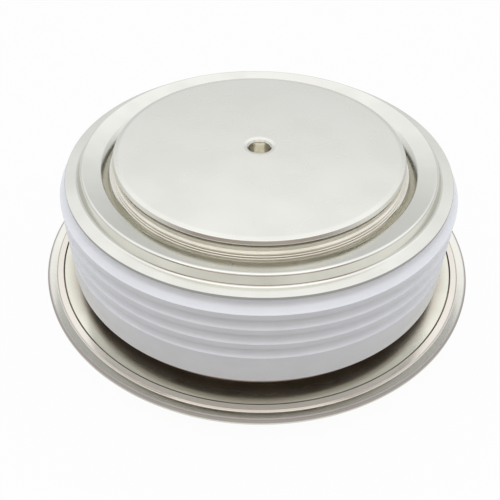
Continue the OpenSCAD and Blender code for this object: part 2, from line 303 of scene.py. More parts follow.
@dataclass(frozen=True)
class PlatedMetal(Coating):
    """A plated, drawn or lapped metal.

    Attributes:
        patch: Size of the patches, in metres.
        grain: Size of the fine grain, in metres.
        grain_depth: Relief of the grain, in metres.
        mark_pitch: Distance between turning marks, in metres.
        mark_depth: Relief of the turning marks, in metres.
        zones: Rings with a look of their own.
    """

    patch: float = 0.006
    grain: float = 0.00025
    grain_depth: float = 0.000002
    mark_pitch: float = 0.0003
    mark_depth: float = 0.0
    zones: tuple[Zone, ...] = ()

    def material(self) -> bpy.types.Material:
        """Returns the finish as a material."""
        shader = Shader(self.name, {"Metallic": 1.0})
        color, gloss = self.mottled(shader, shader.noise(self.patch, detail=2.0))
        for zone in self.zones:
            share = shader.spread(shader.radius(), 1.0, 0.0, zone.full * MM, zone.none * MM)
            color = shader.blend(share, color, zone.color)
            gloss = shader.math("ADD", gloss, shader.math("MULTIPLY", share, zone.gloss - self.gloss[0]))
        shader.cover(color, gloss)
        layers = [(shader.noise(self.grain, detail=2.0), self.grain_depth)]
        if self.mark_depth:
            layers.append((shader.rings(self.mark_pitch), self.mark_depth))
        shader.relief(layers)
        return shader.material


@dataclass(frozen=True)
class GlazedCeramic(Coating):
    """A glazed alumina with a faint mottle, a painted highlight on its foot's edge and a metal-coated face in painted
    shade.

    Attributes:
        coat: Weight of the glaze's gloss.
        ripple_depth: Relief of the glaze's ripple, in metres.
        ripple: Size of the ripple, in metres.
        mottle: Size of the mottle, in metres.
        coat_gloss: Roughness of the glaze's gloss.
        ior: The glaze's index of refraction.
        painted_foot_highlight: The lighter, warmer colour of the foot's edge, a painted highlight.
        metal_face_and_shade: The colour of the metal-coated face under the foot, a real coating darkened as painted
            shade.
        foot: Height of the foot, in metres.
        face_h: Where the metal-coated face is full and where it ends, above the foot in metres.
        painted_foot_highlight_h: Height of the painted highlight on the foot's edge, in metres.
    """

    coat: float
    ripple_depth: float
    ripple: float = 0.0015
    mottle: float = 0.004
    coat_gloss: float = 0.12
    ior: float = 1.55
    # Painted highlight: a lighter, warmer colour over the chamfer at the foot.
    painted_foot_highlight: Color = (0.84, 0.82, 0.80)
    # Partly painted shade: the metal-coated face under the foot is near-black, darkening the gap under the ceramic.
    metal_face_and_shade: Color = (0.12, 0.10, 0.09)
    foot: float = 0.0066
    face_h: tuple[float, float] = (0.00001, 0.00003)
    painted_foot_highlight_h: float = 0.00045

    def material(self) -> bpy.types.Material:
        """Returns the finish as a material."""
        shader = Shader(self.name, {"Coat Weight": self.coat, "Coat Roughness": self.coat_gloss, "IOR": self.ior})
        glaze, gloss = self.mottled(shader, shader.noise(self.mottle, detail=5.0, roughness=0.6))
        above = shader.math("SUBTRACT", shader.height(), self.foot)
        # The foot's edge takes the painted highlight, and the face under the foot the painted shade.
        edged = shader.blend(shader.spread(above, 1.0, 0.0, 0.9 * self.painted_foot_highlight_h, self.painted_foot_highlight_h), glaze, self.painted_foot_highlight)
        faced = shader.blend(shader.spread(above, 1.0, 0.0, *self.face_h), edged, self.metal_face_and_shade)
        shader.cover(faced, gloss)
        shader.relief([(shader.noise(self.ripple, detail=2.0), self.ripple_depth)])
        return shader.material


@dataclass(frozen=True)
class Polymer(Coating):
    """A moulded, turned or cast polymer.

    Attributes:
        sheen: Weight of its soft sheen.
        cloud: Size of the cloudy patches, in metres.
        grain: Size of the grain, in metres.
        grain_depth: Relief of the grain, in metres.
    """

    sheen: float = 0.0
    cloud: float = 0.005
    grain: float = 0.0004
    grain_depth: float = 0.00001

    def material(self) -> bpy.types.Material:
        """Returns the finish as a material."""
        shader = Shader(self.name, {"Sheen Weight": self.sheen})
        shader.cover(*self.mottled(shader, shader.noise(self.cloud)))
        shader.relief([(shader.noise(self.grain), self.grain_depth)])
        return shader.material


Finish = PlatedMetal | GlazedCeramic | Polymer


class Finishes:
    """Makes each finish's material once."""

    CHOICES: ClassVar[dict[Slot, Finish]] = {
        Slot.NICKEL_PLATE: PlatedMetal(
            "satin_nickel", (0.72, 0.715, 0.64), (0.69, 0.685, 0.61), (0.24, 0.30),
            patch=0.009, grain=0.0006, grain_depth=0.0000004, mark_pitch=0.0005, mark_depth=0.0000002,
        ),
        Slot.NICKEL_SHEET: PlatedMetal(
            "bright_nickel_sheet", (0.70, 0.695, 0.62), (0.66, 0.655, 0.58), (0.14, 0.21),
            patch=0.007, grain=0.0006, grain_depth=0.0000015, mark_pitch=0.0005, mark_depth=0.0000008,
        ),
        Slot.ALUMINA: GlazedCeramic(
            "white_alumina", (0.775, 0.805, 0.815), (0.75, 0.78, 0.79), (0.30, 0.38), 0.35, 0.000004,
        ),
        Slot.MOLYBDENUM: PlatedMetal(
            "lapped_molybdenum", (0.42, 0.42, 0.44), (0.37, 0.37, 0.39), (0.38, 0.48),
            grain=0.0002, grain_depth=0.000004,
        ),
        Slot.SILICON: PlatedMetal(
            "polished_silicon", (0.16, 0.16, 0.18), (0.14, 0.14, 0.16), (0.06, 0.10), patch=0.02,
        ),
        Slot.SILICONE: Polymer(
            "white_silicone", (0.86, 0.85, 0.82), (0.82, 0.81, 0.77), (0.50, 0.62), sheen=0.1,
        ),
        Slot.FLUOROPLASTIC: Polymer(
            "turned_fluoroplastic", (0.88, 0.87, 0.83), (0.84, 0.83, 0.79), (0.36, 0.46),
        ),
        Slot.SPRING_STEEL: PlatedMetal(
            "drawn_spring_wire", (0.50, 0.50, 0.50), (0.44, 0.44, 0.44), (0.20, 0.30), patch=0.001,
        ),
        Slot.SILVER_PLATE: PlatedMetal(
            "silver_plate", (0.85, 0.83, 0.78), (0.80, 0.77, 0.71), (0.14, 0.24), patch=0.003,
        ),
        Slot.TIN_PLATE: PlatedMetal(
            "bright_tin_plate", (0.75, 0.75, 0.74), (0.70, 0.70, 0.69), (0.18, 0.30),
            patch=0.002, grain=0.0004, grain_depth=0.000002,
        ),
    }

    def __init__(self) -> None:
        """Starts with no material made."""
        self.made: dict[Finish, bpy.types.Material] = {}

    def of(self, slot: Slot, finish: Finish | None = None) -> bpy.types.Material:
        """Gives a slot's material.

        Args:
            slot: The record's slot.
            finish: A finish of its own in place of the slot's.

        Returns:
            The material.
        """
        chosen = finish or self.CHOICES[slot]
        if chosen not in self.made:
            self.made[chosen] = chosen.material()
        return self.made[chosen]


FINISHES = Finishes()


@dataclass(frozen=True)
class Corner:
    """A corner of a section, in millimetres.

    Attributes:
        r: Distance from the axis.
        z: Height.
        rounding: Radius of its rounding.
    """

    r: float
    z: float
    rounding: float = 0.0


def arc(r: float, z: float, radius: float, start: float, end: float, step: float = 7.5) -> list[Corner]:
    """Gives the corners of a round bend.

    Args:
        r: The centre's distance from the axis.
        z: The centre's height.
        radius: The bend's radius.
        start: The first angle, in degrees.
        end: The last angle, in degrees.
        step: The largest angle between two corners, in degrees.

    Returns:
        The bend as plain corners.
    """
    count = max(2, math.ceil(abs(end - start) / step))
    angles = [math.radians(start + (end - start) * i / count) for i in range(count + 1)]
    return [Corner(r + radius * math.cos(a), z + radius * math.sin(a)) for a in angles]


def soften(corners: Sequence[Corner], closed: bool) -> list[Point]:
    """Rounds the corners of a section, with a holding point at each end of a rounding.

    Args:
        corners: The section's corners in order.
        closed: Whether the last corner joins the first.

    Returns:
        The section's points.
    """
    points: list[Point] = []
    count = len(corners)
    for index, corner in enumerate(corners):
        at = Vector((corner.r, corner.z))
        ends = not closed and index in (0, count - 1)
        if corner.rounding <= 0.0 or ends:
            points.append((at.x, at.y))
            continue
        before = corners[index - 1]
        after = corners[(index + 1) % count]
        back = Vector((before.r, before.z)) - at
        ahead = Vector((after.r, after.z)) - at
        half = back.angle(ahead) / 2.0
        reach = min(corner.rounding / math.tan(half), SIDE_SHARE * back.length, SIDE_SHARE * ahead.length)
        radius = reach * math.tan(half)
        hold = min(HOLD, 0.5 * reach)
        back.normalize()
        ahead.normalize()
        middle = at + (back + ahead).normalized() * (radius / math.sin(half))
        first = at + back * reach - middle
        last = at + ahead * reach - middle
        sweep = math.pi - 2.0 * half
        turn = 1.0 if first.cross(last) > 0.0 else -1.0
        steps = max(2, math.ceil(math.degrees(sweep) / ROUND_STEP))
        points.append(tuple(at + back * (reach + hold)))
        for i in range(steps + 1):
            a = turn * sweep * i / steps
            points.append(tuple(middle + Matrix.Rotation(a, 2) @ first))
        points.append(tuple(at + ahead * (reach + hold)))
    return points


def shade(mesh: bpy.types.Mesh) -> None:
    """Shades a mesh smooth, apart from its sharp edges."""
    mesh.shade_smooth()
    mesh.set_sharp_from_angle(angle=math.radians(SHARP_ANGLE))


def add_object(name: str, data: bpy.types.ID) -> bpy.types.Object:
    """Puts an object in the scene.

    Args:
        name: The object's name.
        data: Its mesh, curve, camera or lamp.

    Returns:
        The new object.
    """
    made = bpy.data.objects.new(name, data)
    bpy.context.scene.collection.objects.link(made)
    return made


def settle(name: str, built: bmesh.types.BMesh, mesh: bpy.types.Mesh) -> bpy.types.Object:
    """Writes a built form to a mesh, shades it and puts it in the scene.

    Args:
        name: The object's name.
        built: The form.
        mesh: The mesh.

    Returns:
        The new object.
    """
    bmesh.ops.recalc_face_normals(built, faces=built.faces)
    built.to_mesh(mesh)
    built.free()
    shade(mesh)
    return add_object(name, mesh)


def formed(piece: bpy.types.Object) -> bpy.types.Mesh:
    """Returns a new mesh of an object's form, with its modifiers."""
    bpy.context.view_layer.update()
    return bpy.data.meshes.new_from_object(piece.evaluated_get(bpy.context.evaluated_depsgraph_get()))


def turned(name: str, points: Sequence[Point], segments: int = ROUND_SIDES) -> bpy.types.Object:
    """Turns a section about the capsule's axis.

    Args:
        name: The object's name.
        points: The section's points in millimetres. A section that starts and ends on the axis is solid there.
        segments: Steps round the axis.

    Returns:
        The turned piece.
    """
    solid = max(points[0][0], points[-1][0]) < ON_AXIS
    mesh = bmesh.new()
    rows: list[list[bmesh.types.BMVert]] = []
    for r, z in points:
        if r < ON_AXIS:
            rows.append([mesh.verts.new((0.0, 0.0, z * MM))])
            continue
        rows.append([mesh.verts.new((x * MM, y * MM, z * MM)) for x, y in circle(0.0, 0.0, 2.0 * r, segments)])
    pairs = list(zip(rows, rows[1:]))
    if not solid:
        pairs.append((rows[-1], rows[0]))
    for low, high in pairs:
        for i in range(segments):
            j = (i + 1) % segments
            if len(low) == 1:
                mesh.faces.new((low[0], high[i], high[j]))
            elif len(high) == 1:
                mesh.faces.new((low[i], high[0], low[j]))
            else:
                mesh.faces.new((low[i], high[i], high[j], low[j]))
    return settle(name, mesh, bpy.data.meshes.new(name))


def plate(
    name: str, loops: Sequence[Sequence[Point]], thickness: float, edge: float, place: Matrix
) -> bpy.types.Object:
    """Stamps a flat plate with rounded edges.

    Args:
        name: The object's name.
        loops: The outline and then any holes, in millimetres.
        thickness: The plate's thickness in millimetres.
        edge: Radius of its edges in millimetres.
        place: From the outline's plane, in metres, to the scene.

    Returns:
        The plate.
    """
    curve = bpy.data.curves.new(name, "CURVE")
    curve.dimensions = "2D"
    curve.fill_mode = "BOTH"
    curve.extrude = (thickness / 2.0 - edge) * MM
    curve.bevel_depth = edge * MM
    curve.bevel_resolution = 2
    curve.offset = -edge * MM
    for loop in loops:
        spline = curve.splines.new("POLY")
        spline.points.add(len(loop) - 1)
        for point, (x, y) in zip(spline.points, loop):
            point.co = (x * MM, y * MM, 0.0, 1.0)
        spline.use_cyclic_u = True
    form = add_object(name + "_form", curve)
    mesh = formed(form)
    bpy.data.objects.remove(form)
    bpy.data.curves.remove(curve)
    mesh.name = name
    mesh.transform(place)
    clean = bmesh.new()
    clean.from_mesh(mesh)
    bmesh.ops.remove_doubles(clean, verts=clean.verts, dist=SAME_POINT)
    return settle(name, clean, mesh)


def combine(base: bpy.types.Object, tool: bpy.types.Object, operation: str) -> None:
    """Cuts or joins a piece by another, which goes.

    Args:
        base: The piece that stays.
        tool: The piece that cuts it or joins it.
        operation: DIFFERENCE or UNION.
    """
    modifier = base.modifiers.new("combine", "BOOLEAN")
    modifier.object = tool
    modifier.operation = operation
    modifier.solver = "EXACT"
    mesh = formed(base)
    base.modifiers.clear()
    old = base.data
    base.data = mesh
    bpy.data.meshes.remove(old)
    bpy.data.objects.remove(tool)
    shade(mesh)


def along_y(y: float, z: float) -> Matrix:
    """Gives the turn that lays a vertical axis along +Y.

    Args:
        y: Where the axis starts, in millimetres.
        z: Its height, in millimetres.

    Returns:
        The matrix.
    """
    return Matrix.Translation((0.0, y * MM, z * MM)) @ Matrix.Rotation(math.radians(-90.0), 4, "X")


def circle(x: float, y: float, diameter: float, count: int = 32) -> list[Point]:
    """Gives the points of a circle.

    Args:
        x: The centre's first coordinate.
        y: The centre's second coordinate.
        diameter: The circle's diameter.
        count: Points round it.

    Returns:
        The points.
    """
    angles = [2.0 * math.pi * i / count for i in range(count)]
    return [(x + diameter / 2.0 * math.cos(a), y + diameter / 2.0 * math.sin(a)) for a in angles]


def dress(piece: bpy.types.Object, slot: Slot, *nodes: str, finish: Finish | None = None) -> None:
    """Gives a piece its finish and its place in the frame.

    Args:
        piece: The piece.
        slot: The slot of its finish.
        nodes: The nodes it stands for.
        finish: A finish of its own in place of the slot's.
    """
    piece.data.materials.clear()
    piece.data.materials.append(FINISHES.of(slot, finish))
    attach(piece, "root")
    if nodes:
        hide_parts(*nodes)
    LOG.info("%s: %d faces in %s", piece.name, len(piece.data.polygons), slot.value)


@dataclass(frozen=True)
class Pole:
    """A turned pole, measured from its contact face inwards, with its braze fillet."""

    # The braze's corners, by distance from the wall, height over the collar and rounding.
    BEADS: ClassVar[tuple[tuple[float, float, float], ...]] = (
        (0.0, 0.0, 0.0), (0.0, 1.52, 0.0), (0.16, 1.52, 0.04), (0.16, 0.92, 0.1), (0.26, 0.84, 0.04),
        (0.50, 0.73, 0.05), (0.51, 0.50, 0.0), (0.34, 0.45, 0.0), (0.34, 0.37, 0.0), (0.58, 0.30, 0.04),
        (0.65, 0.26, 0.03), (0.65, 0.17, 0.0), (0.50, 0.13, 0.0), (0.50, 0.08, 0.0), (0.72, 0.07, 0.02),
        (0.82, 0.04, 0.02), (0.86, 0.0, 0.0),
    )

    end: End
    height: float
    collar: float
    capsule_h: float = 26.0
    lip_r: float = 23.75
    chamfer_w: float = 0.35
    chamfer_h: float = 0.35
    blunt_w: float = 0.09
    blunt_h: float = 0.13
    bevel_w: float = 0.7
    bevel_h: float = 0.12
    lip_h: float = 0.74
    undercut: float = 0.45
    relief_w: float = 0.8
    relief_h: float = 0.55
    body_r: float = 22.4
    shoulder_w: float = 0.9
    shoulder_t: float = 1.2
    sheet_t: float = 0.5
    hole_r: float = 1.8
    hole_depth: float = 3.5
    hole_cone: float = 0.1
    mark_pitch: float = 0.16
    mark_h: float = 0.03
    mark_low: float = 0.3
    mark_high: float = 0.1
    mouth_r: float = 2.25
    worn_in: float = 0.17
    worn_w: float = 0.35
    worn_h: float = 0.12
    bore_r: float = 3.1
    bore_z: float = 4.5
    bore_sides: int = 96
    slot_w: float = 2.0
    slot_z: float = 7.9
    cut_over: float = 0.5
    slot_over: float = 0.3
    bored: Color = (0.72, 0.70, 0.60)
    bored_gloss: float = 0.12
    bored_reach: tuple[float, float] = (0.05, 0.12)
    braze: Color = (0.80, 0.77, 0.67)
    braze_shade: Color = (0.75, 0.72, 0.62)
    braze_gloss: tuple[float, float] = (0.34, 0.42)

    def level(self, depth: float) -> float:
        """Returns the height of a depth below the contact face."""
        return depth if self.end is End.CATHODE else self.capsule_h - depth

    def lay(self, corners: Sequence[Corner]) -> list[Corner]:
        """Returns corners by depth as corners by height."""
        return [Corner(c.r, self.level(c.z), c.rounding) for c in corners]

    def drill_marks(self, start: float, end: float) -> list[Corner]:
        """Gives the fine rings that a drill leaves in the centring hole.

        Args:
            start: The depth of the lowest ring.
            end: The depth of the highest ring.

        Returns:
            The rings' corners, from the bottom up.
        """
        count = 2 * round((start - end) / self.mark_pitch)
        step = (end - start) / count
        return [Corner(self.hole_r + self.mark_h * (i % 2), start + i * step) for i in range(count + 1)]

    def section(self) -> list[Corner]:
        """Returns the pole's section, from the centring hole round to the inner end."""
        wall_r = self.lip_r - self.undercut
        bevel_r = self.lip_r - self.chamfer_w
        shoulder = self.collar + self.sheet_t
        mouth_h = self.mouth_r - self.hole_r
        return self.lay([
            Corner(0.0, self.hole_depth + self.hole_cone),
            Corner(self.hole_r, self.hole_depth, 0.2),
            *self.drill_marks(self.hole_depth - self.mark_low, mouth_h + self.mark_high),
            Corner(self.hole_r, mouth_h, 0.08),
            Corner(self.mouth_r - self.worn_in, self.worn_h, 0.1),
            Corner(self.mouth_r + self.worn_w, 0.0, 0.8),
            Corner(bevel_r - self.bevel_w, 0.0, 1.0),
            Corner(bevel_r, self.bevel_h, 0.12),
            Corner(self.lip_r - self.blunt_w, self.bevel_h + self.chamfer_h + self.blunt_h, 0.06),
            Corner(self.lip_r - self.blunt_w, self.lip_h, 0.04),
            Corner(wall_r - self.relief_w, self.lip_h, 0.06),
            Corner(wall_r - self.relief_w, self.lip_h + self.relief_h, 0.06),
            Corner(wall_r, self.lip_h + self.relief_h),
            Corner(wall_r, shoulder),
            Corner(wall_r + self.shoulder_w, shoulder),
            Corner(wall_r + self.shoulder_w, shoulder + self.shoulder_t),
            Corner(self.body_r, shoulder + self.shoulder_t),
            Corner(self.body_r, self.height, 0.15),
            Corner(0.0, self.height),
        ])

    def fillet(self) -> list[Corner]:
        """Returns the section of the braze on the wall and the sheet's collar."""
        wall_r = self.lip_r - self.undercut
        return self.lay([Corner(wall_r + out, self.collar - up, rounding) for out, up, rounding in self.BEADS])

    def build(self) -> None:
        """Turns the pole and its fillet, and bores the cathode pole for the gate."""
        name = self.end.value
        pole = turned(f"{name}_pole_turned", soften(self.section(), closed=False))
        if self.end is End.CATHODE:
            top = self.height + self.cut_over
            bore = turned("gate_bore", [
                (0.0, self.bore_z), (self.bore_r, self.bore_z), (self.bore_r, top), (0.0, top),
            ], self.bore_sides)
            combine(pole, bore, "DIFFERENCE")
            half = self.slot_w / 2.0
            middle = (self.slot_z + top) / 2.0
            out = self.body_r + self.slot_over
            run = [(-half, 0.0), (half, 0.0), (half, out), (-half, out)]
            lift = Matrix.Translation((0.0, 0.0, middle * MM))
            slot = plate("lead_slot", [run], top - self.slot_z, TOOL_EDGE, lift)
            combine(pole, slot, "DIFFERENCE")
        full, none = self.bored_reach
        zone = Zone(self.bored, self.bored_gloss, self.hole_r + full, self.hole_r + none)
        bored = replace(Finishes.CHOICES[Slot.NICKEL_PLATE], name="bored_nickel", zones=(zone,))
        dress(pole, Slot.NICKEL_PLATE, f"{name}_pole", finish=bored)
        sheet = Finishes.CHOICES[Slot.NICKEL_SHEET]
        brazed = replace(
            sheet, name="pale_gold_braze", color=self.braze, shade=self.braze_shade, gloss=self.braze_gloss
        )
        fillet = turned(f"{name}_braze_fillet", soften(self.fillet(), closed=True))
        dress(fillet, Slot.NICKEL_SHEET, finish=brazed)


@dataclass(frozen=True)
class PressedRing:
    """The ring pressed in a sheet round a pole, with the slopes on both sides of it."""

    wall_r: float = 23.3
    slope_in_r: float = 24.4
    ring_in: Point = (25.65, 0.9)
    ring_out: Point = (28.7, 1.7)
    slope_out_r: float = 29.45
    tuck: float = 0.25

    def section(self, free: float, inner: float, side: float, edge: Sequence[Corner]) -> list[Corner]:
        """Gives a sheet's section, out along its free face and back along the face inside the capsule.

        Args:
            free: The height of the free face's flat parts.
            inner: The height of the inner face's flat parts.
            side: 1.0 for a ring that rises and -1.0 for one that falls.
            edge: The corners between the two faces.

        Returns:
            The section's corners.
        """
        (in_r, in_h), (out_r, out_h) = self.ring_in, self.ring_out
        return [
            Corner(self.wall_r, free),
            Corner(self.slope_in_r, free, 0.3),
            Corner(in_r, free + side * in_h, 0.55),
            Corner(out_r, free + side * out_h, 0.42),
            Corner(self.slope_out_r, free, 0.45),
            *edge,
            Corner(self.slope_out_r - self.tuck, inner, 0.1),
            Corner(out_r - self.tuck, inner + side * out_h, 0.2),
            Corner(in_r + self.tuck, inner + side * in_h, 0.3),
            Corner(self.slope_in_r + self.tuck, inner, 0.1),
            Corner(self.wall_r, inner),
        ]


@dataclass(frozen=True)
class Diaphragm:
    """The pressed sheet between the anode pole and the ceramic's top."""

    under: float = 22.65
    sheet_t: float = 0.5
    seat_r: float = 31.4
    ring: PressedRing = PressedRing()
    # Painted shade: the sheet's outer edge is drawn dark, standing in for the shade under its overhang over the
    # ceramic.
    painted_edge_shade: Zone = Zone((0.34, 0.33, 0.31), 0.3, 31.39, 31.33)

    def section(self) -> list[Corner]:
        """Returns the sheet's section, over its upper face and back below."""
        top = self.under + self.sheet_t
        edge = [Corner(self.seat_r, top, 0.08), Corner(self.seat_r, self.under, 0.08)]
        return self.ring.section(top, self.under, 1.0, edge)

    def build(self) -> None:
        """Presses the sheet."""
        piece = turned("diaphragm_pressed", soften(self.section(), closed=True))
        # The sheet's finish, with the painted shade on its outer edge.
        painted_edge_shade = replace(Finishes.CHOICES[Slot.NICKEL_SHEET], name="edge_shaded_nickel_sheet", zones=(self.painted_edge_shade,))
        dress(piece, Slot.NICKEL_SHEET, "anode_diaphragm", finish=painted_edge_shade)


@dataclass(frozen=True)
class CeramicRing:
    """The ribbed ring, with glaze pooled in the grooves between its ribs and a hole for the gate tube."""

    foot: float = 6.6
    top: float = 22.65
    rib_r: float = 32.5
    bore_r: float = 28.0
    land_h: float = 5.55
    rib_count: int = 3
    crest_h: float = 1.0
    neck_h: float = 1.7
    neck_depth: float = 1.45
    neck_r: float = 0.9
    shoulder_slope: float = 22.0
    foot_chamfer: float = 0.4
    edge: float = 0.09
    pooled: float = 0.36
    tube_d: float = 2.4
    tube_z: float = 8.9
    drill_l: float = 10.0
    drill_in: float = 4.0

    @property
    def rib_pitch(self) -> float:
        """Returns the distance from rib to rib."""
        return (self.top - self.foot - self.land_h - self.neck_h) / self.rib_count

    def groove(self, middle: float) -> list[Corner]:
        """Gives one groove with its two rounded rib edges, from the top down.

        Args:
            middle: The height of the groove's middle.

        Returns:
            The groove's corners.
        """
        half = (self.rib_pitch - self.crest_h) / 2.0
        depth = half - self.pooled
        hollow = (half ** 2 + depth ** 2) / (2.0 * depth)
        apart = hollow - depth + self.edge
        lift = math.sqrt((hollow + self.edge) ** 2 - apart ** 2)
        lean = math.degrees(math.atan2(lift, apart))
        edge_r = self.rib_r - self.edge
        upper = arc(edge_r, middle + lift, self.edge, 0.0, -lean, 15.0)
        below = arc(edge_r + apart, middle, hollow, 180.0 - lean, 180.0 + lean)
        lower = arc(edge_r, middle - lift, self.edge, lean, 0.0, 15.0)
        return [
            Corner(self.rib_r, middle + lift + HOLD),
            *upper, *below[1:-1], *lower,
            Corner(self.rib_r, middle - lift - HOLD),
        ]

    def section(self) -> list[Corner]:
        """Returns the ring's section, from its top down the ribs to its foot."""
        root_r = self.rib_r - self.neck_depth
        crest = self.top - self.neck_h
        sweep = 90.0 - self.shoulder_slope
        run = self.neck_r * (1.0 - math.cos(math.radians(sweep)))
        drop = self.neck_r * math.sin(math.radians(sweep))
        bend_z = crest + (self.neck_depth - run) * math.tan(math.radians(self.shoulder_slope)) + drop
        corners = [Corner(self.bore_r, self.top, 0.15), Corner(root_r, self.top, 0.08)]
        corners += arc(root_r + self.neck_r, bend_z, self.neck_r, 180.0, 180.0 + sweep)
        corners.append(Corner(self.rib_r, crest, self.edge))
        hollow = (self.rib_pitch - self.crest_h) / 2.0
        for index in reversed(range(self.rib_count)):
            corners += self.groove(self.foot + self.land_h + index * self.rib_pitch + hollow)
        corners += [
            Corner(self.rib_r, self.foot + self.foot_chamfer, 0.15),
            Corner(self.rib_r - self.foot_chamfer, self.foot, 0.15),
            Corner(self.bore_r, self.foot, 0.1),
        ]
        return corners

    def build(self) -> None:
        """Turns the ring and drills it for the gate tube."""
        piece = turned("ceramic_ring_glazed", soften(self.section(), closed=True))
        radius = self.tube_d / 2.0
        reach = self.drill_l
        drill = turned("tube_drill", [(0.0, 0.0), (radius, 0.0), (radius, reach), (0.0, reach)], SMALL_SIDES)
        drill.data.transform(along_y(self.bore_r - self.drill_in, self.tube_z))
        combine(piece, drill, "DIFFERENCE")
        dress(piece, Slot.ALUMINA, "ceramic_ring")


@dataclass(frozen=True)
class WeldedRim:
    """The two sheets of the welded rim: one brazed under the ceramic, one to the cathode pole."""

    seam: float = 3.8
    sheet_t: float = 0.5
    rim_r: float = 37.5
    ceramic_z: float = 6.6
    neck_r: float = 30.4
    braze_w: float = 2.2
    bend_r: float = 0.7
    ridge_in: float = 34.6
    ridge_out: float = 36.0
    ridge_rise: float = 0.2
    ridge_draft: float = 0.24
    rim_rise: float = 0.34
    edge_r: float = 0.3
    ring: PressedRing = PressedRing()
    # Painted shade: the upper sheet is darkened from the ceramic's foot outwards, where it lies in shade under the
    # ceramic and mirrors the dark gap below the foot.
    painted_gap_shade: Zone = Zone((0.41, 0.36, 0.29), 0.28, 31.4, 34.6)
    # Painted reflection: the olive base tone of the upper sheet, which shows between the painted shade and the weld
    # ridge, stands in for the olive shade the sheet mirrors near the ceramic.
    olive: Color = (0.69, 0.685, 0.565)
    olive_shade: Color = (0.66, 0.655, 0.54)
    # Painted reflection: a warm pinkish tone on the weld ridge, standing in for the warm surroundings that the ridge
    # mirrors.
    painted_warm_reflection: Zone = Zone((0.70, 0.66, 0.57), 0.17, 34.7, 34.4)
    plain: Zone = Zone((0.72, 0.71, 0.62), 0.16, 36.2, 35.9)
    trimmed: Zone = Zone((0.40, 0.37, 0.34), 0.45, 37.3, 37.0)

    def ridge(self, level: float) -> list[Corner]:
        """Gives the pressed weld ridge, or the groove under it.

        Args:
            level: The free face's height.

        Returns:
            The ridge's corners, outwards.
        """
        return [
            Corner(self.ridge_in, level, 0.1),
            Corner(self.ridge_in + self.ridge_draft, level + self.ridge_rise, 0.1),
            Corner(self.ridge_out - self.ridge_draft, level + self.ridge_rise, 0.04),
            Corner(self.ridge_out, level, 0.1),
        ]

    def upper(self) -> list[Corner]:
        """Returns the upper sheet's section, over its upper face and back below."""
        top = self.seam + self.sheet_t
        foot_r = self.neck_r + self.bend_r
        bend_in = self.neck_r - self.bend_r
        bend_z = self.ceramic_z - self.bend_r
        inner = self.neck_r - self.braze_w
        return [
            Corner(inner, self.ceramic_z),
            *arc(bend_in, bend_z, self.bend_r, 90.0, 0.0),
            *arc(foot_r, top + self.bend_r, self.bend_r, 180.0, 270.0),
            *self.ridge(top),
            *arc(self.rim_r - self.edge_r, top + self.rim_rise - self.edge_r, self.edge_r, 106.0, 0.0),
            Corner(self.rim_r, self.seam, 0.06),
            *arc(foot_r, top + self.bend_r, self.bend_r + self.sheet_t, 270.0, 180.0),
            *arc(bend_in, bend_z, self.bend_r - self.sheet_t, 0.0, 90.0),
            Corner(inner, self.ceramic_z - self.sheet_t),
        ]

    def lower(self) -> list[Corner]:
        """Returns the lower sheet's section, along its free face and back above."""
        free = self.seam - self.sheet_t
        edge = [*self.ridge(free), Corner(self.rim_r, free, 0.2), Corner(self.rim_r, self.seam, 0.06)]
        return self.ring.section(free, self.seam, -1.0, edge)

    def build(self) -> None:
        """Presses both sheets."""
        upper = turned("weld_flange_pressed", soften(self.upper(), closed=True))
        # The upper sheet's finish, with painted shade by the ceramic, a painted olive reflection and a painted warm
        # reflection on the weld ridge.
        shade_painted_sheet = replace(
            Finishes.CHOICES[Slot.NICKEL_SHEET],
            name="shade_painted_nickel_sheet",
            color=self.olive,
            shade=self.olive_shade,
            zones=(self.painted_gap_shade, self.painted_warm_reflection, self.plain, self.trimmed),
        )
        dress(upper, Slot.NICKEL_SHEET, "weld_flange", finish=shade_painted_sheet)
        lower = turned("cathode_flange_pressed", soften(self.lower(), closed=True))
        dress(lower, Slot.NICKEL_SHEET, "cathode_flange")


